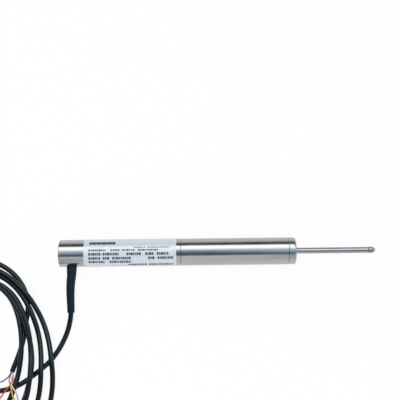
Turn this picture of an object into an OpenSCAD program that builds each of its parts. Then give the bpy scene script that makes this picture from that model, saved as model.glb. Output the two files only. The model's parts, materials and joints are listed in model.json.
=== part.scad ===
// Spring-loaded LVDT displacement sensor, lying on its side with the contact tip towards +X.
// Millimetres. z = 0 is the surface that it lies on, and x = 0 is the middle of its length.

/* [Housing] */
// Outside diameter of both housings
body_d = 19.05; // [18.5:0.05:24]
// Length of the rear housing, from the rear face to the first seam
rear_l = 85.2; // [82:0.1:120]
// Wall of the rear housing
rear_wall = 1.2; // [0.8:0.05:1.5]
// Length of the front housing, from the first seam to the second
front_l = 75.5; // [72:0.1:110]
// Wall of the front housing
front_wall = 2.0; // [1:0.05:2.4]
// Thickness of the rear cap
rear_cap_t = 3.0; // [1.5:0.1:5]
// Chamfer round the rear edge
rear_chamfer = 0.5; // [0.2:0.05:1.1]
// Chamfer on each side of a welded seam
seam_chamfer = 0.3; // [0.1:0.05:0.6]

/* [Front cap] */
// Length of the cap in front of the second seam
cap_l = 5.3; // [4.5:0.1:9]
// Rounding of the cap's front edge
cap_round = 2.0; // [0.5:0.1:3]
// Length of the cap's boss inside the front housing
boss_l = 24.3; // [22:0.1:28]
// Gap round the shaft in the cap's mouth
mouth_gap = 0.25; // [0.15:0.05:0.6]

/* [Plunger] */
// Diameter of the shaft
shaft_d = 4.2; // [3.6:0.01:5.5]
// Length of the shaft in front of the cap when it is out
shaft_out = 51.0; // [40:0.1:70]
// Full travel of the plunger
travel = 28; // [20:0.5:28]
// Chamfer at the front end of the shaft
shaft_chamfer = 0.3; // [0.1:0.05:0.5]
// Length of the stop collar
collar_l = 4.0; // [3:0.1:5]
// Radius of the collar's set screw
collar_screw_r = 0.9; // [0.6:0.05:1.1]
// Thickness of the stop washer
washer_t = 1.0; // [0.6:0.1:1.5]

/* [Contact tip] */
// Length of the tip in front of the shaft
tip_l = 5.3; // [5:0.1:8]
// Diameter of the tip's collar
tip_collar_d = 4.6; // [3.8:0.02:5.4]
// Length of the collar
tip_collar_l = 2.0; // [0.8:0.1:2.4]
// Grip grooves round the collar
tip_grooves = 2; // [1:1:3]
// Diameter of the neck behind and in front of the collar
tip_neck_d = 3.0; // [2.9:0.1:3.6]
// Width of each neck
tip_neck_l = 0.35; // [0.2:0.05:0.6]
// Diameter of the nose at its base
tip_nose_d = 4.1; // [3.4:0.05:4.6]
// How pointed the nose is, from 1 for half an ellipse
tip_point = 1.6; // [1:0.1:2]
// Radius of the stud that screws into the shaft
stud_r = 1.1; // [0.9:0.05:1.4]
// Length of the stud
stud_l = 6; // [4:0.5:9]

/* [Guide] */
// Length of each bushing
bushing_l = 9; // [6:0.5:10]
// Wall of the bushings
bushing_wall = 1.2; // [0.8:0.05:1.6]
// Length of the wiper seal
wiper_l = 2.2; // [1.5:0.1:2.8]

/* [Return spring] */
// Wire of the spring
spring_wire = 0.6; // [0.4:0.05:0.7]
// Turns of the spring, its closed end turns included
spring_turns = 12; // [8:1:14]
// Gap between the shaft and the inside of the spring
spring_gap = 1.0; // [0.8:0.05:1.4]
// Length of the pilots that centre the spring's ends
pilot_l = 1.5; // [1:0.1:2]

/* [Coil set] */
// Length of the bulkhead in each housing
spigot_l = 5.2; // [4:0.1:6]
// Flange of the coil former
flange_t = 2.0; // [1.6:0.1:2.6]
// Wall of the coil former's hub
hub_wall = 0.8; // [0.5:0.05:1.2]
// Height of the flanges above the windings
flange_step = 0.7; // [0.3:0.05:1.2]
// Wall of the magnetic shield
shield_wall = 0.4; // [0.2:0.05:0.6]
// Diameter of the core
core_d = 4.0; // [3.4:0.05:4.6]
// Length of the core
core_l = 20; // [14:0.5:22]
// Diameter of the core rod
rod_d = 2.0; // [1.6:0.05:2.2]
// Depth of the core rod in the shaft
rod_seat = 6; // [4:0.5:9]
// Length of each lock nut on the core rod
nut_l = 1.8; // [1.2:0.1:2.4]
// Gap between the core and the bore liner
core_gap = 0.7; // [0.4:0.05:0.9]
// Wall of the bore liner
liner_wall = 0.5; // [0.3:0.05:0.8]

/* [Circuit boards] */
// Thickness of each board
board_t = 1.2; // [0.8:0.1:1.6]
// Length of the spacers between the boards
board_gap = 6.8; // [5.6:0.1:8]
// Length of the spacers between the boards and the coil former
former_gap = 6.0; // [4.5:0.1:7.5]
// Radius of the screws that hold the boards
board_screw_r = 0.7; // [0.5:0.05:0.9]
// Room for the wires between the cable and the screw heads
wire_room = 2.3; // [1.8:0.1:4]

/* [Cable exit] */
// Distance from the rear face to the middle of the cable exit
exit_x = 8.5; // [8:0.1:12]
// Diameter of the cable
cable_d = 3.6; // [3:0.05:3.8]
// Outside diameter of the nipple
nipple_d = 5.0; // [4.8:0.05:5.6]
// Length of the nipple outside the housing
nipple_out = 5.5; // [5:0.5:8]
// Length of the nipple inside the housing's wall
nipple_in = 0.9; // [0.5:0.1:1.4]
// Length of the ring crimped on the cable
crimp_l = 2.5; // [1.5:0.1:2.8]
// Diameter of the shrink sleeve at the housing
sleeve_root_d = 7.2; // [6.8:0.05:7.6]
// Diameter of the shrink sleeve at its free end
sleeve_end_d = 5.1; // [4.6:0.05:5.6]
// Form of the sleeve's taper: 1 is straight, and less narrows sooner
sleeve_taper = 0.65; // [0.5:0.05:1]
// Least wall of the sleeve
sleeve_wall = 0.15; // [0.1:0.05:0.3]

/* [Label] */
// Distance from the rear face to the label
label_x = 17.7; // [14.5:0.1:18.5]
// Length of the label along the housing
label_l = 64.4; // [40:0.1:65.5]
// Thickness of the label
label_t = 0.1; // [0.05:0.01:0.2]
// Angle from the top to the label's far edge
label_far = 78; // [40:1:100]
// Angle from the top to the label's near edge
label_near = 122; // [60:1:130]

/* [Clearances] */
// Radial gap of a piece that is fixed inside another
fixed_gap = 0.02; // [0.01:0.01:0.04]
// Radial gap of the shaft in its bushings
running_gap = 0.03; // [0.02:0.01:0.08]
// Gap between the stop collar and its washer when the plunger is out
stop_gap = 0.05; // [0.02:0.01:0.2]
// Gap between the shield or a board and the housing's bore
bore_gap = 0.2; // [0.1:0.05:0.3]

/* [Hidden] */

round_fn = 96;
small_fn = 32;
overcut = 1;

// Radii across the sensor, from the outside in
body_r = body_d / 2;
rear_bore_r = body_r - rear_wall;
front_bore_r = body_r - front_wall;
shield_r = rear_bore_r - bore_gap;
flange_r = shield_r - shield_wall - fixed_gap;
winding_r = flange_r - flange_step;
board_r = rear_bore_r - bore_gap;
core_r = core_d / 2;
liner_bore_r = core_r + core_gap;
liner_r = liner_bore_r + liner_wall;
former_bore_r = liner_r + fixed_gap;
hub_r = former_bore_r + hub_wall;
rod_r = rod_d / 2;
rod_gap = 0.6;
rod_hole_r = rod_r + rod_gap;
shaft_r = shaft_d / 2;
bushing_r = shaft_r + running_gap + bushing_wall;
spring_in_r = shaft_r + spring_gap;
spring_mean_r = spring_in_r + spring_wire / 2;
collar_rim = 1.2;
collar_r = spring_in_r + spring_wire + collar_rim;
pilot_gap = 0.25;
pilot_r = spring_in_r - pilot_gap;
cable_r = cable_d / 2;

// Places along the sensor, measured from the rear face
seam_x = rear_l;
cap_x = rear_l + front_l;
front_x = cap_x + cap_l;
shaft_end_x = front_x + shaft_out;
overall_l = shaft_end_x + tip_l;
boss_x = cap_x - boss_l;
washer_x = boss_x - washer_t;
collar_x = washer_x - stop_gap - collar_l;
bulkhead_x = seam_x - spigot_l;
spring_x = seam_x + spigot_l;
shaft_end_room = 2;
shaft_x = spring_x + pilot_l + travel + shaft_end_room;
screw_head_l = 1.2;
screw_x = exit_x + cable_r + wire_room;
oscillator_x = screw_x + screw_head_l;
demodulator_x = oscillator_x + board_t + board_gap;
former_x = demodulator_x + board_t + former_gap;
former_l = bulkhead_x - former_x;
window_l = (former_l - 4 * flange_t) / 3;
liner_seat = 3;
core_end_room = 2.5;
core_x = bulkhead_x + liner_seat - core_end_room - nut_l - core_l;
rod_tail = 0.5;
rod_x = core_x - nut_l - rod_tail;
liner_end_room = 1.2;
liner_x = rod_x - travel - liner_end_room - liner_wall;

// The sensor's axis and its cable exit in the frame of the whole part
rear_face = -overall_l / 2;
axis_z = body_r;
exit_point = [rear_face + exit_x, 0, axis_z];

// Board screws: places round the axis
screw_count = 3;
screw_turn = 360 / screw_count;
spacer_r = 1.4;
screw_hole_r = board_screw_r + 0.1;
screw_pitch_r = board_r - spacer_r - 0.6;
screw_in_flange = flange_t - 0.4;

// Cable: the stretch in the nipple and the sleeve, as steps from the exit point
cable_start = rear_bore_r - nipple_in - crimp_l - 0.6;
sleeve_overlap = 0.6;
straight_l = 0.6;
sleeve_steps = [
    [0, -body_r + sleeve_overlap, 0], [0, -12, 0], [0, -body_r - nipple_out - straight_l, 0],
    [-0.4, -20, -0.2], [-0.6, -24.5, -0.6], [-0.6, -29, -1.2], [-0.5, -33.5, -2], [-0.4, -37.5, -2.9],
    [-0.4, -41, -3.8]
];
sleeve_sides = 24;
sleeve_path = [for (step = sleeve_steps) exit_point + step];

// The routes below were laid out for a cable exit at this x, and move along with the exit
laid_exit_x = -101.8;
cord_shift = [exit_point[0] - laid_exit_x, 0, 0];

// Cable: the stretch that lies free, up to the place where the coil takes it in
cord_sides = 8;
cord_lift = 0.05;
floor_z = cable_r + cord_lift;
lead_points = [
    [-102.7, -45.6, 4.4], [-103.9, -51, 3.1], [-105.8, -56.5, 2.2], [-108.4, -62.2, floor_z],
    [-111.9, -68.2, floor_z], [-116.2, -73.8, floor_z], [-121.2, -78.4, floor_z],
    [-126.5, -82.6, floor_z], [-131.4, -86.3, floor_z], [-136.8, -89.6, floor_z],
    [-143, -92.2, floor_z], [-151, -93.8, floor_z], [-160, -94, floor_z],
    [-170, -93, floor_z], [-180, -91, floor_z], [-190, -88, floor_z], [-199, -83.4, floor_z],
    [-206, -77, floor_z], [-210, -70, floor_z], [-211, -64, floor_z]
];
lead_route = concat(
    [exit_point + [0, -cable_start, 0]],
    sleeve_path,
    [for (p = lead_points) p + cord_shift]
);

// Coil: the four points that each outline runs through, at its right, bottom, left and top
coil_h = 7.4;
coil_outer = [[-112.2, -86], [-167, -156.4], [-232.1, -78], [-173, 0]];
coil_inner = [[-138.1, -63], [-167, -118.2], [-209.2, -64], [-164, -21.8]];
quarter_steps = 12;

// Cable: its end, which comes out from under the coil
tail_route = [
    [-133.3, -45, floor_z], [-134.2, -52, floor_z], [-135.4, -58, floor_z], [-137, -65, floor_z],
    [-139.2, -72, floor_z], [-141.2, -77, floor_z], [-142.6, -80.2, floor_z]
];

// Leads at the end of the cable
wire_r = 0.5;
wire_sides = 8;
blue_route = [
    [-143.1, -80, 2.35], [-144.6, -82, 2.5], [-146.4, -83.6, 2.2], [-148.6, -85, 1.4],
    [-151.2, -86.2, 0.7], [-154, -87, 0.6], [-157.2, -87.4, 0.6], [-160.4, -87.4, 0.6],
    [-163.6, -87, 0.6], [-166.8, -86.4, 0.6], [-170, -85.6, 0.6], [-173, -84.8, 0.6]
];
red_route = [
    [-142.1, -80.4, 1.15], [-142.6, -83, 1.2], [-143, -85.4, 2], [-143.6, -87.6, 3],
    [-144.4, -89.6, 4.1], [-145.6, -91.6, 4.5], [-147, -93.6, 4.4], [-148.6, -95.6, 3.1],
    [-150.2, -97.6, 1.4], [-151.6, -99.8, 0.7], [-152.8, -102.2, 0.6], [-153.6, -104.8, 0.6],
    [-154, -107.6, 0.6]
];
yellow_route = [
    [-143.1, -80, 1.15], [-144.4, -82.4, 1.2], [-145.2, -84.8, 1.9], [-145.2, -87, 3.6],
    [-144.2, -89, 5.4], [-143, -91, 7.1], [-142, -93, 7.9], [-141, -95.2, 7.6],
    [-140.2, -97.6, 6], [-139.8, -100, 3.2], [-139.8, -102.4, 1.3], [-140.2, -104.8, 0.6],
    [-141.2, -107.2, 0.6]
];
white_route = [
    [-142.1, -80.4, 2.35], [-142.2, -83, 2.7], [-142.3, -85.6, 3.9], [-142, -88, 5.9],
    [-141, -90.2, 7.8], [-139.6, -92.2, 8.1], [-138.4, -94.2, 7], [-137.6, -96.2, 4.6],
    [-137, -98.2, 2.2], [-136.9, -100.4, 0.9], [-137.2, -102.8, 0.6], [-138, -105.2, 0.6],
    [-139.2, -107.4, 0.6]
];

// Wires inside, from the cable to the first board: steps from the cable's start
inner_wire_r = 0.4;
inner_wire_sides = 6;
board_reach = oscillator_x - exit_x;
near_wire = [
    [0.6, 0, 0.6], [0.6, 0.5, 0.6], [1, 1.1, 0.9], [1.9, 1.6, 1.2], [3, 1.85, 1.3],
    [board_reach, 1.9, 1.3]
];
far_wire = [
    [-0.6, 0, 0.6], [-0.6, 0.6, 0.6], [-0.4, 1.6, 0.8], [0.3, 2.8, 1.1], [1.6, 3.5, 1.3],
    [board_reach, 3.7, 1.3]
];

// Colours
steel = "silver";
ground_steel = "gainsboro";
label_white = "whitesmoke";
cable_black = [0.12, 0.14, 0.17];
copper = [0.72, 0.4, 0.2];
brass = [0.8, 0.65, 0.3];
bronze = [0.65, 0.48, 0.28];
board_green = [0.1, 0.4, 0.25];

function unit(v) = v / norm(v);

function tangent(path, i) = unit(path[min(i + 1, len(path) - 1)] - path[max(i - 1, 0)]);

// One ring of a swept tube, square to the path
function sweep_ring(path, i, r, sides) =
    let (t = tangent(path, i), side = unit(cross(t, [0, 0, 1])), up = cross(side, t))
    [for (k = [0 : sides - 1]) path[i] + r * (cos(360 * k / sides) * side + sin(360 * k / sides) * up)];

function tube_faces(rings, sides) = concat(
    [[for (k = [sides - 1 : -1 : 0]) k]],
    [for (i = [0 : rings - 2], k = [0 : sides - 1])
        let (a = i * sides + k, b = i * sides + (k + 1) % sides)
            each [[a, b, b + sides], [a, b + sides, a + sides]]],
    [[for (k = [0 : sides - 1]) (rings - 1) * sides + k]]
);

// A round tube along a path, with a radius at each of its points
module sweep(path, radii, sides) {
    polyhedron(
        [for (i = [0 : len(path) - 1]) each sweep_ring(path, i, radii[i], sides)],
        tube_faces(len(path), sides),
        convexity = 8
    );
}

module cord(path, r, sides) sweep(path, [for (p = path) r], sides);

// Places its children on the sensor's axis, with their z axis towards the tip
module along_axis(x) translate([rear_face + x, 0, axis_z]) rotate([0, 90, 0]) children();

// Places its children at the cable exit, with their z axis out of the housing
module along_exit(out) translate(exit_point + [0, -out, 0]) rotate([90, 0, 0]) children();

module turned(x, profile) along_axis(x) rotate_extrude($fn = round_fn) polygon(profile);

module ring(x, l, r_out, r_in) turned(x, [[r_in, 0], [r_out, 0], [r_out, l], [r_in, l]]);

// Repeats its children round the axis at the board screws
module at_screws(x) along_axis(x)
    for (i = [0 : screw_count - 1]) rotate(i * screw_turn) translate([screw_pitch_r, 0, 0]) children();

module rear_housing() color(steel) difference() {
    turned(0, [
        [rear_bore_r, 0], [body_r - rear_chamfer, 0], [body_r, rear_chamfer],
        [body_r, rear_l - seam_chamfer], [body_r - seam_chamfer, rear_l], [rear_bore_r, rear_l]
    ]);
    along_exit(0) cylinder(h = body_r + overcut, r = nipple_d / 2 + fixed_gap, $fn = small_fn);
}

module rear_cap() color(steel) along_axis(0)
    cylinder(h = rear_cap_t, r = rear_bore_r - fixed_gap, $fn = round_fn);

module front_housing() color(steel) turned(seam_x, [
    [front_bore_r, 0], [body_r - seam_chamfer, 0], [body_r, seam_chamfer],
    [body_r, front_l - seam_chamfer], [body_r - seam_chamfer, front_l], [front_bore_r, front_l]
]);

module front_cap() color(steel) along_axis(boss_x) rotate_extrude($fn = round_fn) difference() {
    union() {
        square([front_bore_r - fixed_gap, boss_l]);
        translate([0, boss_l]) square([body_r - cap_round, cap_l]);
        translate([0, boss_l]) polygon([
            [0, 0], [body_r - seam_chamfer, 0], [body_r, seam_chamfer],
            [body_r, cap_l - cap_round], [0, cap_l - cap_round]
        ]);
        translate([body_r - cap_round, boss_l + cap_l - cap_round]) circle(cap_round, $fn = small_fn);
    }
    translate([-overcut, -overcut])
        square([overcut + shaft_r + mouth_gap, boss_l + cap_l + 2 * overcut]);
    translate([0, -overcut]) square([bushing_r + fixed_gap, overcut + boss_l + wiper_l]);
}

module label() color(label_white) along_axis(label_x) rotate(180 - label_far)
    rotate_extrude(angle = label_far + label_near, $fn = round_fn)
        translate([body_r + fixed_gap, 0]) square([label_t, label_l]);

module bulkhead() color(steel) turned(bulkhead_x, [
    [former_bore_r, 0], [rear_bore_r - fixed_gap, 0], [rear_bore_r - fixed_gap, spigot_l],
    [front_bore_r - fixed_gap, spigot_l], [front_bore_r - fixed_gap, 2 * spigot_l],
    [pilot_r, 2 * spigot_l], [pilot_r, 2 * spigot_l + pilot_l], [rod_hole_r, 2 * spigot_l + pilot_l],
    [rod_hole_r, liner_seat + fixed_gap], [former_bore_r, liner_seat + fixed_gap]
]);

module cable_nipple() {
    bore_r = cable_r + 0.1;
    stub_r = nipple_d / 2;
    barb = 0.3;
    barb_l = 1.5;
    barb_pitch = 2.5;
    inside = rear_bore_r - nipple_in;
    tip = body_r + nipple_out - inside;
    barbs = [
        for (back = [2 * barb_pitch, barb_pitch])
            each [[stub_r, tip - back], [stub_r + barb, tip - back], [stub_r, tip - back + barb_l]]
    ];
    color(steel) along_exit(inside) rotate_extrude($fn = small_fn)
        polygon(concat([[bore_r, 0], [stub_r, 0]], barbs, [[stub_r - barb, tip], [bore_r, tip]]));
}

module cable_crimp() color(copper) along_exit(rear_bore_r - nipple_in - crimp_l)
    rotate_extrude($fn = small_fn) translate([cable_r + fixed_gap, 0]) square([0.9, crimp_l]);

// Shrink sleeve: tight on the cable at its free end, and over the nipple's barbs at its root
module strain_relief() {
    last = len(sleeve_path) - 1;
    // Rings of the path that still lie on the nipple
    nipple_rings = 2;
    root_r = nipple_d / 2 + 0.35;
    function share(i) = norm(sleeve_path[i] - sleeve_path[0]) / norm(sleeve_path[last] - sleeve_path[0]);
    function taper(i) = sleeve_root_d + (sleeve_end_d - sleeve_root_d) * pow(share(i), sleeve_taper);
    inner = [for (i = [0 : last]) i <= nipple_rings ? root_r : cable_r + 0.1];
    outer = [for (i = [0 : last]) max(taper(i) / 2, inner[i] + sleeve_wall)];
    mouth = concat(
        [sleeve_path[0] + [0, overcut, 0]],
        [for (i = [1 : last - 1]) sleeve_path[i]],
        [sleeve_path[last] + overcut * tangent(sleeve_path, last)]
    );
    color(cable_black) difference() {
        sweep(sleeve_path, outer, sleeve_sides);
        sweep(mouth, inner, sleeve_sides);
        along_axis(0) cylinder(h = 2 * exit_x, r = body_r + fixed_gap, $fn = round_fn);
    }
}

module cable_lead() color(cable_black) cord(lead_route, cable_r, cord_sides);

// Closed outline through four extreme points, a quarter of an ellipse between each two
function quarter(from, to, flat_first) = [
    for (s = [0 : quarter_steps - 1])
        let (
            a = 90 * s / quarter_steps,
            u = flat_first ? sin(a) : 1 - cos(a),
            v = flat_first ? 1 - cos(a) : sin(a)
        )
        [from[0] + (to[0] - from[0]) * u, from[1] + (to[1] - from[1]) * v]
];

function oval(ends) = [
    for (i = [0 : 3]) each quarter(ends[i], ends[(i + 1) % 4], i % 2 == 1)
];

module cable_coil() color(cable_black) translate(cord_shift) linear_extrude(coil_h) difference() {
    polygon(oval(coil_outer));
    polygon(oval(coil_inner));
}

module cable_tail() color(cable_black) translate(cord_shift) cord(tail_route, cable_r, cord_sides);

module lead_wire_blue() color("royalblue") translate(cord_shift) cord(blue_route, wire_r, wire_sides);

module lead_wire_red() color("orangered") translate(cord_shift) cord(red_route, wire_r, wire_sides);

module lead_wire_yellow() color("gold") translate(cord_shift) cord(yellow_route, wire_r, wire_sides);

module lead_wire_white() color("mistyrose") translate(cord_shift) cord(white_route, wire_r, wire_sides);

module inner_leads() color("gold") for (steps = [near_wire, far_wire], mirrored = [1, -1])
    cord(
        [for (s = steps) exit_point + [s[0], s[1] - cable_start, s[2] * mirrored]],
        inner_wire_r, inner_wire_sides
    );

module board(x, hole_r) color(board_green) difference() {
    ring(x, board_t, board_r, hole_r);
    at_screws(x - overcut) cylinder(h = board_t + 2 * overcut, r = screw_hole_r, $fn = small_fn);
}

module oscillator_board() board(oscillator_x, 0.8);

module demodulator_board() board(demodulator_x, liner_r + 0.4);

// Capacitors on the first board and chips on the second, between the screws
module board_components() {
    part_pitch_r = screw_pitch_r - 1;
    cap_r = 1.5;
    cap_h = 4.2;
    chip = [2, 3.4, 1.2];
    for (i = [0 : screw_count - 1]) {
        turn = (i + 0.5) * screw_turn;
        color("dimgray") along_axis(oscillator_x + board_t) rotate(turn)
            translate([part_pitch_r, 0, 0]) cylinder(h = cap_h, r = cap_r, $fn = small_fn);
        color("black") along_axis(demodulator_x + board_t) rotate(turn)
            translate([part_pitch_r + 1, 0, chip[2] / 2]) cube(chip, center = true);
    }
}

module board_spacers() color(brass) {
    for (place = [[oscillator_x + board_t, board_gap], [demodulator_x + board_t, former_gap]])
        at_screws(place[0]) difference() {
            cylinder(h = place[1], r = spacer_r, $fn = small_fn);
            translate([0, 0, -overcut])
                cylinder(h = place[1] + 2 * overcut, r = screw_hole_r, $fn = small_fn);
        }
}

module board_screws() color(steel) at_screws(screw_x) {
    cylinder(h = screw_head_l, r = 2 * board_screw_r, $fn = small_fn);
    cylinder(h = former_x + screw_in_flange - screw_x - 0.1, r = board_screw_r, $fn = small_fn);
}

module coil_former() color("tan") difference() {
    along_axis(former_x) rotate_extrude($fn = round_fn) {
        translate([former_bore_r, 0]) square([hub_wall, former_l]);
        for (i = [0 : 3]) translate([former_bore_r, i * (window_l + flange_t)])
            square([flange_r - former_bore_r, flange_t]);
    }
    at_screws(former_x - overcut)
        cylinder(h = overcut + screw_in_flange, r = board_screw_r + fixed_gap, $fn = small_fn);
}

// Winding in one of the three windows of the former, counted from the rear
module winding(window) {
    side_gap = 0.05;
    x = former_x + flange_t + window * (window_l + flange_t);
    color(copper) ring(x + side_gap, window_l - 2 * side_gap, winding_r, hub_r + fixed_gap);
}

module rear_secondary() winding(0);

module primary_winding() winding(1);

module front_secondary() winding(2);

module bore_liner() {
    liner_l = bulkhead_x + liner_seat - liner_x;
    color(steel) turned(liner_x, [
        [0, 0], [liner_r, 0], [liner_r, liner_l], [liner_bore_r, liner_l], [liner_bore_r, liner_wall],
        [0, liner_wall]
    ]);
}

module magnetic_shield() color("slategray") ring(former_x, former_l, shield_r, shield_r - shield_wall);

module bushing(x) color(bronze) ring(x, bushing_l, bushing_r, shaft_r + running_gap);

module rear_bushing() bushing(boss_x);

module front_bushing() bushing(cap_x - bushing_l);

module wiper_seal() {
    lip_r = shaft_r + running_gap;
    color([0.15, 0.15, 0.15]) turned(cap_x, [
        [lip_r + 0.4, 0], [bushing_r, 0], [bushing_r, wiper_l], [lip_r, wiper_l],
        [lip_r, wiper_l - 0.5]
    ]);
}

module stop_washer() color("ivory") ring(washer_x, washer_t, collar_r, shaft_r + 0.4);

// Helix along the sensor's axis, with its first and last turns closed
module return_spring() {
    steps = 12;
    sides = 6;
    wire = spring_wire / 2;
    end_gap = 0.03;
    l = collar_x - spring_x - 2 * (wire + end_gap);
    closed = spring_wire * 1.1;
    function rise(t) = t < 1 ? t * closed
        : t > spring_turns - 1 ? l - (spring_turns - t) * closed
        : closed + (l - 2 * closed) * (t - 1) / (spring_turns - 2);
    count = spring_turns * steps;
    points = [
        for (i = [0 : count], k = [0 : sides - 1])
            let (a = 360 * i / steps, b = 360 * k / sides, r = spring_mean_r + wire * cos(b))
            [r * cos(a), r * sin(a), wire + end_gap + rise(i / steps) + wire * sin(b)]
    ];
    color("gray") along_axis(spring_x)
        polyhedron(points, tube_faces(count + 1, sides), convexity = 8);
}

module plunger_shaft() {
    l = shaft_end_x - shaft_x;
    hole_r = stud_r + fixed_gap;
    seat_r = rod_r + fixed_gap;
    end_room = 0.4;
    color(ground_steel) turned(shaft_x, [
        [seat_r, 0], [shaft_r - shaft_chamfer, 0], [shaft_r, shaft_chamfer],
        [shaft_r, l - shaft_chamfer], [shaft_r - shaft_chamfer, l], [hole_r, l],
        [hole_r, l - stud_l - end_room], [0, l - stud_l - end_room], [0, rod_seat + end_room],
        [seat_r, rod_seat + end_room]
    ]);
}

// Contact tip: stud, grooved collar between two necks, and a nose that rounds off to its point
module contact_tip() {
    nose_r = tip_nose_d / 2;
    neck_r = tip_neck_d / 2;
    ridge_r = tip_collar_d / 2;
    groove_r = ridge_r - 0.25;
    ridge_l = tip_collar_l / (2 * tip_grooves + 1);
    collar_x0 = tip_neck_l;
    collar_x1 = collar_x0 + tip_collar_l;
    nose_x = collar_x1 + tip_neck_l;
    shoulder = 0.2;
    nose_l = tip_l - nose_x - shoulder;
    nose_steps = 9;
    ridges = [
        for (i = [0 : 2 * tip_grooves])
            let (r = i % 2 == 0 ? ridge_r : groove_r, x = collar_x0 + i * ridge_l)
            each [[r, x], [r, x + ridge_l]]
    ];
    nose = [
        for (i = [0 : nose_steps])
            let (a = 90 * i / nose_steps)
            [nose_r * pow(cos(a), tip_point), nose_x + shoulder + nose_l * sin(a)]
    ];
    color(ground_steel) turned(shaft_end_x, concat(
        [[0, -stud_l], [stud_r, -stud_l], [stud_r, 0], [neck_r, 0], [neck_r, collar_x0]],
        ridges,
        [[neck_r, collar_x1], [neck_r, nose_x], [nose_r, nose_x]],
        nose
    ));
}

module stop_collar() color(steel) difference() {
    turned(collar_x, [
        [shaft_r + fixed_gap, -pilot_l], [pilot_r, -pilot_l], [pilot_r, 0], [collar_r, 0],
        [collar_r, collar_l], [shaft_r + fixed_gap, collar_l]
    ]);
    translate([rear_face + collar_x + collar_l / 2, 0, axis_z])
        cylinder(h = collar_r + overcut, r = collar_screw_r + fixed_gap, $fn = small_fn);
}

module collar_screw() {
    foot = shaft_r + fixed_gap;
    screw_l = collar_r - 0.3 - foot;
    socket = 0.5 * screw_l;
    color("dimgray") translate([rear_face + collar_x + collar_l / 2, 0, axis_z + foot]) difference() {
        cylinder(h = screw_l, r = collar_screw_r, $fn = small_fn);
        translate([0, 0, screw_l - socket])
            cylinder(h = socket + overcut, r = 0.55 * collar_screw_r, $fn = 6);
    }
}

module core_rod() color(ground_steel) along_axis(rod_x)
    cylinder(h = shaft_x + rod_seat - rod_x, r = rod_r, $fn = small_fn);

module core() color("slategray") ring(core_x, core_l, core_r, rod_r + fixed_gap);

module core_nuts() color(brass) for (x = [core_x - nut_l, core_x + core_l])
    along_axis(x) difference() {
        cylinder(h = nut_l, r = core_r, $fn = 6);
        translate([0, 0, -overcut])
            cylinder(h = nut_l + 2 * overcut, r = rod_r + fixed_gap, $fn = small_fn);
    }

rear_housing();
rear_cap();
front_housing();
front_cap();
label();
bulkhead();
cable_nipple();
cable_crimp();
strain_relief();
cable_lead();
cable_coil();
cable_tail();
lead_wire_blue();
lead_wire_red();
lead_wire_yellow();
lead_wire_white();
inner_leads();
oscillator_board();
demodulator_board();
board_components();
board_spacers();
board_screws();
coil_former();
primary_winding();
rear_secondary();
front_secondary();
bore_liner();
magnetic_shield();
front_bushing();
rear_bushing();
wiper_seal();
stop_washer();
return_spring();
plunger_shaft();
contact_tip();
stop_collar();
collar_screw();
core_rod();
core();
core_nuts();
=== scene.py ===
"""Looks of a spring-loaded displacement sensor that lies on a pale surface beside its coiled cable."""

import json
import math

import bpy
import numpy as np
from mathutils import Matrix, Vector


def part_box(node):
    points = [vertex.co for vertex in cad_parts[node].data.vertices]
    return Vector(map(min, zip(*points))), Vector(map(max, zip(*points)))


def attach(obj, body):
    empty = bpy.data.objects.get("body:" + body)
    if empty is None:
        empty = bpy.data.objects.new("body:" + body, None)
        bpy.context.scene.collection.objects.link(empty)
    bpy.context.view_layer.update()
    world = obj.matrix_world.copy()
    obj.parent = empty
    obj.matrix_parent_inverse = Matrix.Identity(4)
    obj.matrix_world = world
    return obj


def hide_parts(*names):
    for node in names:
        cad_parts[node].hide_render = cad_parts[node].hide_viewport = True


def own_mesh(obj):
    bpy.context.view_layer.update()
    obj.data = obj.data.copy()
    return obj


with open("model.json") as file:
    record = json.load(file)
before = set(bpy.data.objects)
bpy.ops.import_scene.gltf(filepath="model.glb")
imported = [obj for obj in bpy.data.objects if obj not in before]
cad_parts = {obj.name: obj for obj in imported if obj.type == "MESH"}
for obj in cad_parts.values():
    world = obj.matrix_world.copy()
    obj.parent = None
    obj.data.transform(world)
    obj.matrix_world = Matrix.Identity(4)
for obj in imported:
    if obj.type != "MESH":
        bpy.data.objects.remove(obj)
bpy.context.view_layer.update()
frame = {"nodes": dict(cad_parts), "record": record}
scene = bpy.context.scene
scene.view_settings.view_transform = "Standard"

MM = 0.001
HOUSING = "housing"

# The sensor's own sizes, from the frame, in metres
front_low, front_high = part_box("front_housing")
label_low, label_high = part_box("label")
AXIS_Z = (front_high.z + front_low.z) / 2


# Camera: a long lens that looks down on the sensor from the near side, with places in metres
SENSOR_MM = 36
IMAGE_PIXELS = 400
FOCAL_PIXELS = 804
CAMERA_TARGET = Vector((-0.01206, 0.03754, 0.00953))
CAMERA_DISTANCE = 0.5752
CAMERA_ELEVATION = math.radians(76.8)
CAMERA_ROLL = math.radians(-0.7)


def add_camera():
    data = bpy.data.cameras.new("camera")
    data.sensor_width = SENSOR_MM
    data.lens = SENSOR_MM * FOCAL_PIXELS / IMAGE_PIXELS
    camera = bpy.data.objects.new("camera", data)
    scene.collection.objects.link(camera)
    back = Vector((0, -math.cos(CAMERA_ELEVATION), math.sin(CAMERA_ELEVATION)))
    level_up = Vector((0, math.sin(CAMERA_ELEVATION), math.cos(CAMERA_ELEVATION)))
    level_right = Vector((1, 0, 0))
    right = math.cos(CAMERA_ROLL) * level_right + math.sin(CAMERA_ROLL) * level_up
    up = math.cos(CAMERA_ROLL) * level_up - math.sin(CAMERA_ROLL) * level_right
    turn = Matrix((right, up, back)).transposed()
    camera.matrix_world = Matrix.Translation(CAMERA_TARGET + CAMERA_DISTANCE * back) @ turn.to_4x4()
    scene.camera = camera


add_camera()


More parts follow.
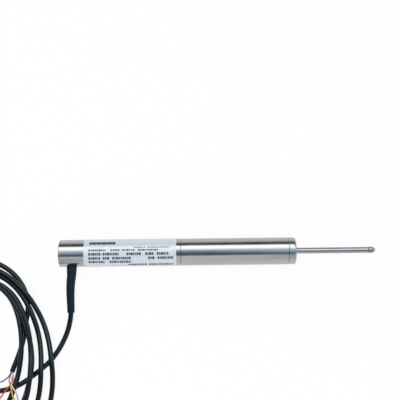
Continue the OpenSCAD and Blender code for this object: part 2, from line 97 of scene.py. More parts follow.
# Shader helpers
def new_material(name, metallic, roughness, specular=0.5):
    made = bpy.data.materials.new(name)
    made.use_nodes = True
    shader = made.node_tree.nodes["Principled BSDF"]
    shader.inputs["Metallic"].default_value = metallic
    shader.inputs["Roughness"].default_value = roughness
    shader.inputs["Specular IOR Level"].default_value = specular
    return made, made.node_tree, shader


def noise(tree, size, stretch=(1, 1, 1), detail=3):
    """Noise with features about size metres across, drawn out along each axis by stretch."""
    place = tree.nodes.new("ShaderNodeTexCoord")
    scaled = tree.nodes.new("ShaderNodeMapping")
    scaled.inputs["Scale"].default_value = [1 / (size * s) for s in stretch]
    texture = tree.nodes.new("ShaderNodeTexNoise")
    texture.inputs["Scale"].default_value = 1
    texture.inputs["Detail"].default_value = detail
    tree.links.new(place.outputs["Object"], scaled.inputs["Vector"])
    tree.links.new(scaled.outputs["Vector"], texture.inputs["Vector"])
    return texture.outputs["Fac"]


def spread(tree, value, low, high, start=0.3, end=0.7):
    """A value that runs from low to high while the given one runs from start to end."""
    node = tree.nodes.new("ShaderNodeMapRange")
    node.inputs["From Min"].default_value = start
    node.inputs["From Max"].default_value = end
    node.inputs["To Min"].default_value = low
    node.inputs["To Max"].default_value = high
    tree.links.new(value, node.inputs["Value"])
    return node.outputs["Result"]


def tint(tree, value, stops):
    """A colour for each value, from (place, colour) stops."""
    ramp = tree.nodes.new("ShaderNodeValToRGB")
    elements = ramp.color_ramp.elements
    while len(elements) < len(stops):
        elements.new(0.5)
    for element, (place, colour) in zip(elements, stops):
        element.position = place
        element.color = (*colour, 1)
    tree.links.new(value, ramp.inputs["Fac"])
    return ramp.outputs["Color"]


def shade(colour, factor):
    """A colour made darker or lighter by a factor."""
    return tuple(channel * factor for channel in colour)


def shades(colour, factors):
    return [shade(colour, factor) for factor in factors]


def around(middle, changes):
    return [middle + change for change in changes]


def vary(tree, shader, value, colours, roughness, ends=(0.3, 0.7)):
    """Runs a shader from the first colour and roughness to the second ones, as a value goes up."""
    tree.links.new(tint(tree, value, tuple(zip(ends, colours))), shader.inputs["Base Color"])
    tree.links.new(spread(tree, value, *roughness), shader.inputs["Roughness"])


def bump(tree, shader, value, depth):
    """Adds relief of that depth in metres, on top of any relief that the shader has."""
    node = tree.nodes.new("ShaderNodeBump")
    node.inputs["Distance"].default_value = depth
    node.inputs["Strength"].default_value = 1
    tree.links.new(value, node.inputs["Height"])
    for link in shader.inputs["Normal"].links:
        tree.links.new(link.from_socket, node.inputs["Normal"])
    tree.links.new(node.outputs["Normal"], shader.inputs["Normal"])


def math_node(tree, operation, first, second):
    """The result of an operation on two values, each a number or a socket."""
    node = tree.nodes.new("ShaderNodeMath")
    node.operation = operation
    for socket, value in zip(node.inputs, (first, second)):
        if isinstance(value, (int, float)):
            socket.default_value = value
        else:
            tree.links.new(value, socket)
    return node.outputs["Value"]


# Metals: colours, how far shade and roughness change over them, and sizes of their marks in metres
STEEL = (0.42, 0.43, 0.44)
SHAFT_STEEL = (0.36, 0.365, 0.38)
TIP_STEEL = (0.34, 0.34, 0.35)
TURNED_SHADES = (0.95, 1.04)
TURNED_CHANGES = (-0.03, 0.04)
GRAINY_SHADES = (0.85, 1.1)
GRAINY_CHANGES = (-0.05, 0.08)
RING_WIDTH = 0.00011
RING_REACH = 400
RING_DEPTH = 0.0000022
FINE_RING_DEPTH = 0.0000005
SMUDGE_SIZE = 0.006
SMUDGE_REACH = 2.5
SCRATCH_WIDTH = 0.00009
SCRATCH_REACH = 160
SCRATCH_DEPTH = 0.0000006
# Only the peaks of the noise, between these two values, become scratches
SCRATCH_PEAKS = (0.64, 0.72)
GRAIN_SIZE = 0.0003
GRAIN_DEPTH = 0.000004
WINDING_ROUGHNESS = 0.3
# Painted shade in the grooves between the turns, and how far up a turn it reaches
WINDING_PAINTED_SHADE = 0.35
WINDING_RIDGE = 0.6
WINDING_PITCH = 0.00018
WINDING_DEPTH = 0.00006
WINDING_WOBBLE = 0.6
# Length of one band of the wave texture at a scale of 1
WAVE_BAND = 0.314


def turned_metal(name, colour, roughness, depth=RING_DEPTH):
    """Metal turned or ground about the sensor's axis: fine rings, faint smudges, a few long scratches."""
    made, tree, shader = new_material(name, 1.0, roughness)
    rings = noise(tree, RING_WIDTH, (1, RING_REACH, RING_REACH), detail=4)
    smudges = noise(tree, SMUDGE_SIZE, (SMUDGE_REACH, 1, 1), detail=4)
    scratches = noise(tree, SCRATCH_WIDTH, (SCRATCH_REACH, 1, 1), detail=1)
    vary(tree, shader, smudges, shades(colour, TURNED_SHADES), around(roughness, TURNED_CHANGES))
    bump(tree, shader, rings, depth)
    bump(tree, shader, spread(tree, scratches, 0, 1, *SCRATCH_PEAKS), SCRATCH_DEPTH)
    return made


def plain_metal(name, colour, roughness):
    """Small metal pieces: satin, with a fine grain."""
    made, tree, shader = new_material(name, 1.0, roughness)
    grain = noise(tree, GRAIN_SIZE, detail=5)
    vary(tree, shader, grain, shades(colour, GRAINY_SHADES), around(roughness, GRAINY_CHANGES))
    bump(tree, shader, grain, GRAIN_DEPTH)
    return made


def wound_wire(name, colour):
    """Fine enamelled wire, wound in close turns about the sensor's axis, with shade painted into the
    grooves between the turns.
    """
    made, tree, shader = new_material(name, 1.0, WINDING_ROUGHNESS)
    place = tree.nodes.new("ShaderNodeTexCoord")
    turns = tree.nodes.new("ShaderNodeTexWave")
    turns.bands_direction = "X"
    turns.inputs["Scale"].default_value = WAVE_BAND / WINDING_PITCH
    turns.inputs["Distortion"].default_value = WINDING_WOBBLE
    tree.links.new(place.outputs["Object"], turns.inputs["Vector"])
    wave = turns.outputs["Fac"]
    # Painted shade: the colour darkens in the grooves between the turns
    colours = tint(tree, wave, ((0.0, shade(colour, WINDING_PAINTED_SHADE)), (WINDING_RIDGE, colour)))
    tree.links.new(colours, shader.inputs["Base Color"])
    bump(tree, shader, wave, WINDING_DEPTH)
    return made


# Plastics, rubber, label and boards, with sizes in metres
WHITE = (1, 1, 1)
BLUISH = (0.7, 0.92, 1)
SOFT_ENDS = (0.25, 0.75)
SKIN_SHADES = (0.82, 1.18)
SKIN_CHANGES = (-0.05, 0.06)
SKIN_TONE_SIZE = 0.004
SKIN_GRAIN = 0.0004
SKIN_DEPTH = 0.000006
SLEEVE_GRAIN = 0.0005
SLEEVE_DEPTH = 0.00001
LABEL_IOR = 1.65
LABEL_COLOURS = ((0.57, 0.63, 0.72), (0.62, 0.68, 0.77))
LABEL_ROUGHNESS = 0.28
LABEL_CHANGES = (-0.03, 0.04)
LABEL_PATCH = 0.007
LABEL_RIPPLE = 0.0016
LABEL_RIPPLE_DEPTH = 0.000009
LABEL_GRAIN = 0.0002
LABEL_GRAIN_DEPTH = 0.000002
BOARD_ROUGHNESS = 0.35
BOARD_GREEN = (0.012, 0.09, 0.04)
BOARD_PALER = (0.016, 0.11, 0.05)
TRACK_GREEN = (0.05, 0.24, 0.1)
TRACK_SCALE = 300
TRACK_WIDTH = 0.03
TRACK_DEPTH = 0.00002


def moulded(name, colour, roughness, grain=SKIN_GRAIN, depth=SKIN_DEPTH, specular=0.5, gloss=WHITE):
    """Moulded or extruded plastic or rubber: a fine surface grain and slight changes of tone."""
    made, tree, shader = new_material(name, 0.0, roughness, specular)
    shader.inputs["Specular Tint"].default_value = (*gloss, 1)
    tone = noise(tree, SKIN_TONE_SIZE, detail=4)
    vary(tree, shader, tone, shades(colour, SKIN_SHADES), around(roughness, SKIN_CHANGES), SOFT_ENDS)
    bump(tree, shader, noise(tree, grain, detail=4), depth)
    return made


def label_film(name):
    """Satin white film with a bluish cast, slightly uneven where it is stuck down."""
    made, tree, shader = new_material(name, 0.0, LABEL_ROUGHNESS, 1.0)
    shader.inputs["IOR"].default_value = LABEL_IOR
    tone = noise(tree, LABEL_PATCH, detail=3)
    vary(tree, shader, tone, LABEL_COLOURS, around(LABEL_ROUGHNESS, LABEL_CHANGES), SOFT_ENDS)
    bump(tree, shader, noise(tree, LABEL_RIPPLE, detail=2), LABEL_RIPPLE_DEPTH)
    bump(tree, shader, noise(tree, LABEL_GRAIN, detail=4), LABEL_GRAIN_DEPTH)
    return made


def circuit_board(name):
    """Green solder mask over copper tracks, which show as paler lines."""
    made, tree, shader = new_material(name, 0.0, BOARD_ROUGHNESS)
    place = tree.nodes.new("ShaderNodeTexCoord")
    tracks = tree.nodes.new("ShaderNodeTexBrick")
    tracks.inputs["Scale"].default_value = TRACK_SCALE
    tracks.inputs["Mortar Size"].default_value = TRACK_WIDTH
    tracks.inputs["Color1"].default_value = (*BOARD_GREEN, 1)
    tracks.inputs["Color2"].default_value = (*BOARD_PALER, 1)
    tracks.inputs["Mortar"].default_value = (*TRACK_GREEN, 1)
    tree.links.new(place.outputs["Object"], tracks.inputs["Vector"])
    tree.links.new(tracks.outputs["Color"], shader.inputs["Base Color"])
    bump(tree, shader, tracks.outputs["Fac"], TRACK_DEPTH)
    return made


MATERIALS = {
    "stainless_steel": turned_metal("stainless_steel", STEEL, 0.17),
    "ground_shaft": turned_metal("ground_shaft", SHAFT_STEEL, 0.2, FINE_RING_DEPTH),
    "tip_steel": turned_metal("tip_steel", TIP_STEEL, 0.26),
    "label_film": label_film("label_film"),
    "cable_jacket": moulded("cable_jacket", (0.003, 0.006, 0.01), 0.26, specular=0.42, gloss=BLUISH),
    "shrink_sleeve": moulded(
        "shrink_sleeve", (0.003, 0.0095, 0.018), 0.5, SLEEVE_GRAIN, SLEEVE_DEPTH, 0.25, BLUISH
    ),
    "wire_blue": moulded("wire_blue", (0.1, 0.1, 0.42), 0.35),
    "wire_red": moulded("wire_red", (0.6, 0.06, 0.035), 0.35),
    "wire_yellow": moulded("wire_yellow", (0.72, 0.43, 0.05), 0.35),
    # The white lead's pale colour is its own; its pink cast is painted red light, reflected from the red
    # lead beside it
    "wire_white": moulded("wire_white", (0.75, 0.6, 0.58), 0.35),
    "circuit_board": circuit_board("circuit_board"),
    "component_plastic": moulded("component_plastic", (0.03, 0.03, 0.032), 0.5),
    "brass_parts": turned_metal("brass_parts", (0.66, 0.46, 0.18), 0.25),
    "fastener_steel": plain_metal("fastener_steel", (0.4, 0.4, 0.42), 0.3),
    "former_plastic": moulded("former_plastic", (0.5, 0.37, 0.22), 0.5),
    "copper_winding": wound_wire("copper_winding", (0.6, 0.25, 0.1)),
    "core_alloy": plain_metal("core_alloy", (0.36, 0.37, 0.39), 0.35),
    "bushing_bronze": plain_metal("bushing_bronze", (0.45, 0.28, 0.13), 0.4),
    "wiper_rubber": moulded("wiper_rubber", (0.015, 0.015, 0.016), 0.6),
    "washer_nylon": moulded("washer_nylon", (0.7, 0.67, 0.58), 0.45),
    "label_ink": moulded("label_ink", (0.015, 0.018, 0.035), 0.5),
    "tinned_copper": plain_metal("tinned_copper", (0.6, 0.58, 0.54), 0.35),
}


def dress(piece, slot, material=None):
    """Gives a piece its slot, and that slot's material or another one."""
    piece.data.materials.clear()
    piece.data.materials.append(MATERIALS[material or slot])


for entry in frame["record"]["subparts"]:
    dress(frame["nodes"][entry["node"]], entry["material_slot"])


# Meshes and curves
CORD_FACETS = 5


def smooth(points, step):
    """Points about step apart on a smooth curve through the given ones."""
    p = np.array(points, float)
    spans = np.linalg.norm(np.diff(p, axis=0), axis=1)
    slopes = np.diff(p, axis=0) / spans[:, None]
    before, after = spans[:-1, None], spans[1:, None]
    inner = (after * slopes[:-1] + before * slopes[1:]) / (before + after)
    tangents = np.vstack([slopes[:1], inner, slopes[-1:]])
    made = []
    for i, span in enumerate(spans):
        for t in np.linspace(0, 1, max(2, round(span / step)), endpoint=False):
            made.append(
                (2 * t**3 - 3 * t**2 + 1) * p[i]
                + (t**3 - 2 * t**2 + t) * span * tangents[i]
                + (3 * t**2 - 2 * t**3) * p[i + 1]
                + (t**3 - t**2) * span * tangents[i + 1]
            )
    return np.array([*made, p[-1]])


def link_mesh(name, vertices, faces):
    mesh = bpy.data.meshes.new(name)
    mesh.from_pydata([tuple(v) for v in vertices], [], faces)
    mesh.update()
    mesh.shade_smooth()
    made = bpy.data.objects.new(name, mesh)
    scene.collection.objects.link(made)
    return made


def skin(rings, sides, first=0):
    """Faces that close a run of rings, each of so many points, whose points start at first."""
    faces = [tuple(range(first, first + sides))[::-1]]
    for i in range(rings - 1):
        for k in range(sides):
            a = first + i * sides + k
            b = first + i * sides + (k + 1) % sides
            faces.append((a, b, b + sides, a + sides))
    last = first + (rings - 1) * sides
    return [*faces, tuple(range(last, last + sides))]


def sweep(name, path, radii, sides):
    """A closed round tube along a path, with a radius at each of its points."""
    vertices = []
    side = Vector((0, 0, 1)).cross(Vector(path[1] - path[0]))
    if side.length < 1e-9:
        side = Vector((1, 0, 0))
    for i, centre in enumerate(path):
        step = Vector(path[min(i + 1, len(path) - 1)] - path[max(i - 1, 0)])
        along = step.normalized() if step.length else along
        side = (side - side.dot(along) * along).normalized()
        up = along.cross(side)
        for k in range(sides):
            a = 2 * math.pi * k / sides
            vertices.append(Vector(centre) + float(radii[i]) * (math.cos(a) * side + math.sin(a) * up))
    return link_mesh(name, vertices, skin(len(path), sides))


def cord_curve(name, points, radius):
    """A round cord as a curve of one open spline through points in millimetres."""
    data = bpy.data.curves.new(name, "CURVE")
    data.dimensions = "3D"
    data.bevel_depth = radius * MM
    data.bevel_resolution = CORD_FACETS
    data.resolution_u = CORD_FACETS
    data.use_fill_caps = True
    spline = data.splines.new("BEZIER")
    spline.bezier_points.add(len(points) - 1)
    for knot, point in zip(spline.bezier_points, points):
        knot.co = Vector(point) * MM
        knot.handle_left_type = "AUTO"
        knot.handle_right_type = "AUTO"
    made = bpy.data.objects.new(name, data)
    scene.collection.objects.link(made)
    return made


# Cable, in millimetres: out of the housing, down to the floor, across to the coil
CABLE_R = 1.8
FLOOR_GAP = 0.15
FLOOR_Z = CABLE_R + FLOOR_GAP
nipple_low, nipple_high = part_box("cable_nipple")
EXIT = ((nipple_low.x + nipple_high.x) / 2 / MM, 0, AXIS_Z / MM)
# The routes below were laid out for an exit at this x, and move along with it
LAID_EXIT_X = -101.8
CORD_SHIFT = np.array((EXIT[0] - LAID_EXIT_X, 0, 0))
SLEEVE_STEPS = (
    (0, -8.925, 0), (0, -12, 0), (0, -15.625, 0), (-0.4, -20, -0.2), (-0.6, -24.5, -0.6),
    (-0.6, -29, -1.2), (-0.5, -33.5, -2), (-0.4, -37.5, -2.9), (-0.4, -41, -3.8),
)
# Points with two values lie in plan, and their height is worked out
LEAD_DROP = ((-102.7, -45.6, 4.4), (-103.9, -51, 3.1), (-105.8, -56.5, 2.2))
LEAD_UNDER_TURNS = (
    (-108.4, -62.2), (-111.9, -68.2), (-116.2, -73.8), (-121.2, -78.4), (-126.5, -82.6),
    (-131.4, -86.3), (-136.8, -89.6), (-143, -92.2), (-151, -93.8),
)
LEAD_INSIDE_COIL = (
    (-160, -94), (-170, -93), (-180, -91), (-190, -88), (-199, -83.4), (-206, -77), (-210, -70),
)
COIL_START = (-211, -64)
TAIL = (
    (-133.8, -45), (-135, -52), (-135.4, -58), (-137, -65), (-139.2, -72), (-141, -77),
    (-142.5, -81),
)

# Turns of the coil, from the inner one out
TURN_TOP = ((-164, -19), (-165, -18), (-166, -18.6), (-168, -11.4), (-170, -7.6))
TURN_RIGHT = ((-135.9, -65), (-128.5, -75.5), (-128.4, -80), (-121.9, -81.5), (-114.1, -86))
TURN_BOTTOM = ((-167, -120), (-167, -126), (-167, -131.5), (-167, -143), (-167, -154.5))
TURN_LEFT = ((-217, -72), (-220.8, -73.5), (-224.6, -75), (-228.4, -76.5), (-232.2, -78))
# Shape of each turn between its top and its right side: 1 is an ellipse, more is flatter, less is fuller
TURN_FLATNESS = (1, 1.12, 0.87, 0.97, 1.04)
LAST_TOP = (-173, -2)
LAST_RIGHT = (-133.1, -38)
QUARTER_POINTS = 9

# Where a turn passes over another stretch of the cable
HUMP_RISE = 3.7
HUMP_REACH = 18
# The last pass counts as crossed only from this point of its fall on
CROSSED_FROM = QUARTER_POINTS // 3
# Steps at which the cable already laid is felt for, and how many of the last ones join the next turn
REST_STEP = 2
LAST_STEPS = 12
TURN_GAP = 0.25
TURN_PITCH = 2 * CABLE_R + TURN_GAP


def quarter(start, end, upright, flatness=1):
    """Points of a quarter turn, from start to just before end, that leaves start upright or else level."""
    angles = np.linspace(0, math.pi / 2, QUARTER_POINTS, endpoint=False)
    early, late = np.sin(angles) ** flatness, 1 - np.cos(angles) ** flatness
    u, v = (late, early) if upright else (early, late)
    return [
        (start[0] + (end[0] - start[0]) * a, start[1] + (end[1] - start[1]) * b)
        for a, b in zip(u, v)
    ]


def nearest(point, line):
    """Where each stretch of a line comes nearest to a point in plan, and how near."""
    line = np.array(line, float)
    first, step = line[:-1], np.diff(line, axis=0)
    flat = step[:, :2]
    share = np.clip(((point - first[:, :2]) * flat).sum(1) / (flat**2).sum(1), 0, 1)
    places = first + share[:, None] * step
    return places, np.linalg.norm(places[:, :2] - point, axis=1)


def coil_turns():
    """Points of each turn that lies on top, and of the last pass, which lies on the floor."""
    turns, start = [], COIL_START
    for top, right, bottom, left, flatness in zip(
        TURN_TOP, TURN_RIGHT, TURN_BOTTOM, TURN_LEFT, TURN_FLATNESS
    ):
        turns.append([
            *quarter(start, top, True), *quarter(top, right, False, flatness),
            *quarter(right, bottom, True), *quarter(bottom, left, False),
        ])
        start = left
    last_rise = quarter(start, LAST_TOP, True)
    last_fall = quarter(LAST_TOP, LAST_RIGHT, False) + [LAST_RIGHT]
    return turns, last_rise, last_fall


def hump(point, crossed):
    """Height at which a turn passes over the lines that it crosses."""
    near = min(nearest(point, line)[1].min() for line in crossed) / HUMP_REACH
    return FLOOR_Z + HUMP_RISE * (1 + math.cos(math.pi * min(near, 1))) / 2


def rest(point, below):
    """Height at which the cable rests on the cable that already lies below it, if there is any."""
    places, gaps = nearest(point, below)
    held = gaps < TURN_PITCH
    return max(places[held, 2] + np.sqrt(TURN_PITCH**2 - gaps[held] ** 2), default=FLOOR_Z)


def cable_route():
    """All points of the cable: through the sleeve, to the coil, round its turns and to its end."""
    turns, last_rise, last_fall = coil_turns()
    crossed = (LEAD_UNDER_TURNS, [*last_fall[CROSSED_FROM:], *TAIL])
    laid = [(*point, FLOOR_Z) for point in (*LEAD_UNDER_TURNS, *LEAD_INSIDE_COIL)]
    for turn in turns:
        below = smooth(laid, REST_STEP)[:-LAST_STEPS]
        laid += [(*point, max(hump(point, crossed), rest(point, below))) for point in turn]
    sleeve = [tuple(a + b for a, b in zip(EXIT, step)) for step in SLEEVE_STEPS]
    end = [(*point, FLOOR_Z) for point in (*last_rise, *last_fall, *TAIL)]
    return [*sleeve, *(np.array([*LEAD_DROP, *laid, *end]) + CORD_SHIFT)]


# Shrink sleeve: tight over the barbs of the nipple, then on the cable
SLEEVE_ROOT_R = 3.6
SLEEVE_END_R = 2.55
SLEEVE_TAPER = 0.65
SLEEVE_LIP = 0.25
BARB_PLACES = (10.1, 12.6)
BARB_SWELL = 0.12
BARB_WIDTH = 0.9
SLEEVE_STEP = 0.6
SLEEVE_SIDES = 40


def add_sleeve():
    steps = smooth(np.array(SLEEVE_STEPS), SLEEVE_STEP)
    travelled = np.concatenate([[0], np.cumsum(np.linalg.norm(np.diff(steps, axis=0), axis=1))])
    share = (travelled / travelled[-1]) ** SLEEVE_TAPER
    radii = SLEEVE_ROOT_R + (SLEEVE_END_R - SLEEVE_ROOT_R) * share
    for place in BARB_PLACES:
        radii += BARB_SWELL * np.exp(-(((-steps[:, 1] - place) / BARB_WIDTH) ** 2))
    lip = steps[-1] + (steps[-1] - steps[-2]) * SLEEVE_LIP
    path = (np.vstack([steps, lip, lip]) + np.array(EXIT)) * MM
    radii = np.concatenate([radii, [SLEEVE_END_R - SLEEVE_LIP, CABLE_R]]) * MM
    sleeve = sweep("strain_sleeve", path, radii, SLEEVE_SIDES)
    dress(sleeve, "shrink_sleeve")
    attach(sleeve, HOUSING)
    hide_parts("strain_relief")
    return sleeve


def add_cable():
    cable = cord_curve("cable", cable_route(), CABLE_R)
    dress(cable, "cable_jacket")
    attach(cable, HOUSING)
    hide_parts("cable_lead", "cable_coil", "cable_tail")
    add_sleeve()


# Leads at the cable's end: their routes in millimetres, and a tinned tip on each
WIRE_R = 0.5
TIP_R = 0.3
TIP_L = 5
TIP_SIDES = 16
# Shares of the tip's length and radius, from inside the insulation to the chamfered end
TIP_SHAPE = ((-0.1, 1), (0, 1), (0.5, 1), (0.97, 1), (1, 0.7))
WIRE_ROUTES = {
    "blue": (
        (-143, -80.8, 2.35), (-143.5, -82.6, 2.9), (-144.5, -84.2, 3), (-146.2, -85.6, 2.2),
        (-148, -86.8, 1.2), (-150, -87.6, 0.7), (-152.4, -88, 0.6), (-155, -88, 0.6),
        (-158, -87.6, 0.6), (-161.2, -87, 0.6), (-164.4, -86.4, 0.6), (-168, -85.7, 0.6),
        (-172, -85, 0.6),
    ),
    "red": (
        (-142, -81.2, 1.15), (-142.1, -83.2, 1.6), (-142, -85.2, 2.4), (-142, -87, 3.4),
        (-142.4, -88.8, 4.4), (-143.4, -90.6, 4.9), (-144.8, -92.4, 4.8), (-146.4, -94.2, 4.2),
        (-148.2, -96.2, 2.6), (-150, -98.4, 1.1), (-151.4, -100.8, 0.6), (-152.6, -103.4, 0.6),
        (-153.6, -107, 0.6),
    ),
    "yellow": (
        (-143, -80.8, 1.15), (-143.6, -82.8, 1.1), (-144, -84.8, 1.6), (-144, -86.6, 3),
        (-143.4, -88.2, 4.9), (-142.4, -89.8, 6.5), (-141.6, -91.4, 7.7), (-141, -93, 8.2),
        (-140.6, -94.8, 8), (-140.3, -96.6, 7.3), (-140, -98.2, 6), (-139.8, -99.8, 3.6),
        (-140.2, -101.4, 1.7), (-140.9, -103.2, 0.7), (-141.9, -105, 0.6), (-143.2, -106.6, 0.6),
    ),
    "white": (
        (-142, -81.2, 2.35), (-141.5, -83, 2.9), (-141, -85, 3.4), (-141, -87, 4.4),
        (-141.3, -88.6, 5.9), (-141, -90, 7.4), (-140.2, -91.6, 8.2), (-139, -93.2, 8.2),
        (-138, -95, 7.4), (-137.8, -97, 5.2), (-137.8, -99, 2.6), (-138, -101, 1),
        (-138.6, -103.2, 0.6), (-139.6, -105.2, 0.6), (-141, -107, 0.6),
    ),
}


def add_wire(colour, route):
    route = np.array(route) + CORD_SHIFT
    ends = route[-2:]
    along = (ends[1] - ends[0]) / np.linalg.norm(ends[1] - ends[0])
    tip_path = np.array([ends[1] + share * TIP_L * along for share, _ in TIP_SHAPE])
    tip_radii = np.array([share * TIP_R for _, share in TIP_SHAPE])
    tip = sweep(f"lead_tip_{colour}", tip_path * MM, tip_radii * MM, TIP_SIDES)
    dress(tip, f"wire_{colour}", "tinned_copper")
    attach(tip, HOUSING)
    wire = cord_curve(f"lead_{colour}", route, WIRE_R)
    dress(wire, f"wire_{colour}")
    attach(wire, HOUSING)
    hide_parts(f"lead_wire_{colour}")


add_cable()
for wire_colour, wire_route in WIRE_ROUTES.items():
    add_wire(wire_colour, wire_route)


# Return spring, in millimetres, built at one length; the real one shortens as the plunger goes in
SPRING_STEPS = 24
SPRING_SIDES = 10
SPRING_TURNS = 12
SPRING_WIRE_R = 0.3
SPRING_CLOSED_PITCH = 0.66
SPRING_END_GAP = 0.03


def add_spring():
    low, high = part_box("return_spring")
    mean_r = (high.z - low.z) / 2 - SPRING_WIRE_R * MM
    first = low.x + (SPRING_WIRE_R + SPRING_END_GAP) * MM
    length = high.x - low.x - 2 * (SPRING_WIRE_R + SPRING_END_GAP) * MM
    closed = SPRING_CLOSED_PITCH * MM
    turns = np.linspace(0, SPRING_TURNS, SPRING_TURNS * SPRING_STEPS + 1)
    knots = (0, 1, SPRING_TURNS - 1, SPRING_TURNS)
    rise = np.interp(turns, knots, (0, closed, length - closed, length))
    angles = 2 * math.pi * turns
    path = np.column_stack([first + rise, -mean_r * np.sin(angles), AXIS_Z - mean_r * np.cos(angles)])
    spring = sweep("spring_coil", path, np.full(len(path), SPRING_WIRE_R * MM), SPRING_SIDES)
    dress(spring, "fastener_steel")
    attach(spring, HOUSING)
    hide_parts("return_spring")
    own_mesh(spring)


add_spring()


# Print on the label: rows of short bars in place of words, in degrees and millimetres, each row as
# (angle from the top, height, gap between the bars, (start, length)...)
PRINT_LIFT = 0.015
PRINT_FACETS = 4
PRINT_DASHES = (1.2, 0.8, 1.5, 1.0, 0.6, 1.1)
PRINT_ROWS = (
    (-35, 2.5, 0.15, (4, 18)),
    (-13, 0.7, 0.4, (35, 8), (44.5, 15)),
    (-2, 1.2, 0.4, (3.5, 12), (19, 6.5), (27, 9), (38, 14)),
    (14, 1.9, 0.4, (3.5, 9), (13.5, 11), (30, 10), (43, 6), (51, 8)),
    (32, 1.9, 0.4, (3.5, 8.5), (13.5, 5), (20, 13), (45, 4.5), (51.5, 11)),
    (49.5, 1.9, 0.4, (3.5, 11), (18, 15)),
    (67.5, 1.9, 0.4, (31, 13), (45.5, 17)),
)


def dashes(gap, start, length):
    """Ends of short bars with gaps between them, from start over that length."""
    made, x, i = [], start, 0
    while x < start + length:
        made.append((x, min(x + PRINT_DASHES[i % len(PRINT_DASHES)], start + length)))
        x = made[-1][1] + gap
        i += 1
    return made


def add_print():
    film_r = label_high.z - AXIS_Z
    vertices, faces = [], []
    for angle, height, gap, *bars in PRINT_ROWS:
        half = height * MM / film_r / 2
        turns = math.radians(angle) + np.linspace(-half, half, PRINT_FACETS + 1)
        for x0, x1 in (ends for bar in bars for ends in dashes(gap, *bar)):
            corners = ((x0, 0), (x1, 0), (x1, PRINT_LIFT), (x0, PRINT_LIFT))
            faces += skin(len(turns), len(corners), len(vertices))
            for turn in turns:
                for x, lift in corners:
                    r = film_r + lift * MM
                    place = (label_low.x + x * MM, -r * math.sin(turn), AXIS_Z + r * math.cos(turn))
                    vertices.append(place)
    printed = link_mesh("label_print", vertices, faces)
    printed.data.shade_flat()
    dress(printed, "label_film", "label_ink")
    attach(printed, HOUSING)


add_print()


# Floor, light and what the metal reflects, in metres and degrees
FLOOR_HALF = 3.0
FLOOR_PAPER = (0.95, 0.95, 0.95)
FLOOR_WHITE = 0.9
SKY_STRENGTH = 0.72
KEY_POWER = 8.0
KEY_SIZE = 1.0
KEY_PLACE = Vector((-0.3, -0.15, 1.45))
CANOPY_R = 1.3
CANOPY_HALF_L = 5
CANOPY_FAR = -88
CANOPY_NEAR = 88
CANOPY_STEP = 2
DEGREE = math.radians(1)
# What the screen shows at each angle from straight up, from its far side to its near one
CANOPY_STOPS = (
    (-88, (0.84, 0.85, 0.82)), (-77, (0.7, 0.71, 0.68)), (-71, (0.09, 0.1, 0.08)),
    (-50, (0.11, 0.12, 0.1)), (-43, (2.2, 2.25, 2.15)), (-38, (2.6, 2.65, 2.55)),
    (-22, (2.4, 2.45, 2.4)), (-10, (1.2, 1.28, 1.38)), (-1, (0.75, 0.85, 1.0)),
    (7, (0.5, 0.61, 0.74)), (17, (0.27, 0.37, 0.47)), (28, (0.1, 0.15, 0.21)), (35, (0.09, 0.13, 0.18)),
    (40, (0.6, 0.64, 0.68)), (45, (1, 1, 1)), (88, (1, 1, 1)),
)
# How much darker or lighter the cloth gets along the sensor, and at which angles
CLOTH_STOPS = (
    (-0.32, 1.28), (-0.15, 0.6), (-0.06, 0.32), (0, 0.63), (0.08, 0.9), (0.19, 1.4), (0.32, 1.4),
)
CLOTH_ANGLES = ((-88, 0), (-8, 0), (3, 1), (38, 1), (43, 0), (88, 0))
# The same for the screen's lowest parts on both sides
SIDE_STOPS = ((-0.34, 0.6), (-0.26, 0.88), (-0.1, 0.97), (0.04, 0.97), (0.14, 0.82), (0.2, 0.76))
SIDE_ANGLES = ((-88, 1), (-74, 1), (-70, 0), (50, 0), (60, 1), (88, 1))
# Beside the shaft the near side of the screen opens out, and its dark cloth hangs lower
OPEN_STOPS = ((0.2, 1), (0.23, 0.62), (0.4, 0.62), (0.43, 1))
# The screen fades out towards both of its ends
END_STOPS = ((-1.1, 0.1), (-0.75, 1), (0.55, 1), (0.9, 0.75))


def multiply(tree, colour, other, factor=None):
    """The product of two colours, in part only where a factor is given."""
    node = tree.nodes.new("ShaderNodeMixRGB")
    node.blend_type = "MULTIPLY"
    node.inputs["Fac"].default_value = 1
    tree.links.new(colour, node.inputs["Color1"])
    tree.links.new(other, node.inputs["Color2"])
    if factor:
        tree.links.new(factor, node.inputs["Fac"])
    return node.outputs["Color"]


def graded(tree, value, stops, unit=1):
    """A colour for each value, from stops of (place in that unit, colour or amount of white)."""
    start, end = stops[0][0], stops[-1][0]
    share = spread(tree, value, 0, 1, start * unit, end * unit)
    colours = [colour if isinstance(colour, tuple) else (colour,) * 3 for _, colour in stops]
    return tint(tree, share, [((s[0] - start) / (end - start), c) for s, c in zip(stops, colours)])


def empty_material(name):
    made = bpy.data.materials.new(name)
    made.use_nodes = True
    made.node_tree.nodes.clear()
    return made, made.node_tree


def seen_directly(tree):
    """One for camera, glossy and transmitted rays, and nothing for the rays that light the object."""
    path = tree.nodes.new("ShaderNodeLightPath")
    mirrored = math_node(
        tree, "MAXIMUM", path.outputs["Is Glossy Ray"], path.outputs["Is Transmission Ray"]
    )
    return math_node(tree, "MAXIMUM", path.outputs["Is Camera Ray"], mirrored)


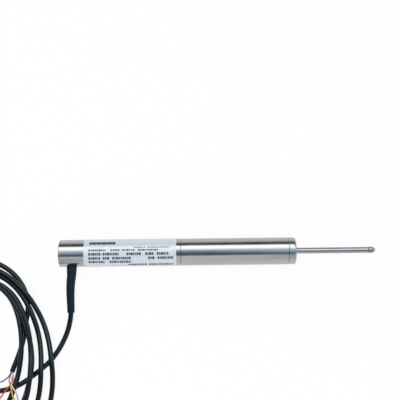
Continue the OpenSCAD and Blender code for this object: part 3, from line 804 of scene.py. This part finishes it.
def add_floor():
    h = FLOOR_HALF
    floor = link_mesh("floor", [(-h, -h, 0), (h, -h, 0), (h, h, 0), (-h, h, 0)], [(0, 1, 2, 3)])
    made, tree = empty_material("floor")
    paper = tree.nodes.new("ShaderNodeBsdfDiffuse")
    paper.inputs["Color"].default_value = (*FLOOR_PAPER, 1)
    white = tree.nodes.new("ShaderNodeEmission")
    mixed = tree.nodes.new("ShaderNodeMixShader")
    output = tree.nodes.new("ShaderNodeOutputMaterial")
    tree.links.new(math_node(tree, "MULTIPLY", seen_directly(tree), FLOOR_WHITE), mixed.inputs[0])
    tree.links.new(paper.outputs["BSDF"], mixed.inputs[1])
    tree.links.new(white.outputs["Emission"], mixed.inputs[2])
    tree.links.new(mixed.outputs["Shader"], output.inputs["Surface"])
    floor.data.materials.append(made)


def add_sky():
    sky = bpy.data.worlds.new("sky")
    sky.use_nodes = True
    tree = sky.node_tree
    strength = spread(tree, seen_directly(tree), SKY_STRENGTH, 1.0, 0, 1)
    tree.links.new(strength, tree.nodes["Background"].inputs["Strength"])
    tree.nodes["Background"].inputs["Color"].default_value = (1, 1, 1, 1)
    scene.world = sky


def add_key():
    data = bpy.data.lights.new("key", "AREA")
    data.size = KEY_SIZE
    data.energy = KEY_POWER
    key = bpy.data.objects.new("key", data)
    scene.collection.objects.link(key)
    key.location = KEY_PLACE
    key.rotation_mode = "QUATERNION"
    key.rotation_quaternion = (-KEY_PLACE).to_track_quat("-Z", "Y")
    key.visible_glossy = False


def canopy_sheet():
    """Part of a wide tube round the sensor's axis, open below."""
    angles = np.radians(np.arange(CANOPY_FAR, CANOPY_NEAR + 1, CANOPY_STEP))
    vertices, faces = [], []
    for i, a in enumerate(angles):
        for x in (-CANOPY_HALF_L, CANOPY_HALF_L):
            vertices.append((x, -CANOPY_R * math.sin(a), AXIS_Z + CANOPY_R * math.cos(a)))
        if i:
            faces.append((2 * i - 2, 2 * i - 1, 2 * i + 1, 2 * i))
    return link_mesh("canopy", vertices, faces)


def canopy_angle(tree, axes):
    """Angle of each place on the screen from straight up, made less where its near side opens out."""
    height = math_node(tree, "SUBTRACT", axes["Z"], AXIS_Z)
    angle = math_node(tree, "ARCTAN2", math_node(tree, "MULTIPLY", axes["Y"], -1), height)
    far, near = math_node(tree, "MINIMUM", angle, 0), math_node(tree, "MAXIMUM", angle, 0)
    opened = math_node(tree, "MULTIPLY", near, graded(tree, axes["X"], OPEN_STOPS))
    return math_node(tree, "ADD", far, opened)


def canopy_light(tree):
    """What the screen shows at each of its places."""
    place = tree.nodes.new("ShaderNodeTexCoord")
    split = tree.nodes.new("ShaderNodeSeparateXYZ")
    tree.links.new(place.outputs["Object"], split.inputs["Vector"])
    x = split.outputs["X"]
    angle = canopy_angle(tree, split.outputs)
    colours = graded(tree, angle, CANOPY_STOPS, DEGREE)
    for stops, angles in ((CLOTH_STOPS, CLOTH_ANGLES), (SIDE_STOPS, SIDE_ANGLES)):
        colours = multiply(tree, colours, graded(tree, x, stops), graded(tree, angle, angles, DEGREE))
    return multiply(tree, colours, graded(tree, x, END_STOPS))


def add_canopy():
    """A long curved screen over the sensor, which only reflections show: a soft box beside darker cloth."""
    canopy = canopy_sheet()
    made, tree = empty_material("canopy")
    light = tree.nodes.new("ShaderNodeEmission")
    output = tree.nodes.new("ShaderNodeOutputMaterial")
    tree.links.new(canopy_light(tree), light.inputs["Color"])
    tree.links.new(light.outputs["Emission"], output.inputs["Surface"])
    canopy.data.materials.append(made)
    canopy.visible_camera = False
    canopy.visible_diffuse = False
    canopy.visible_shadow = False


add_floor()
add_sky()
add_key()
add_canopy()
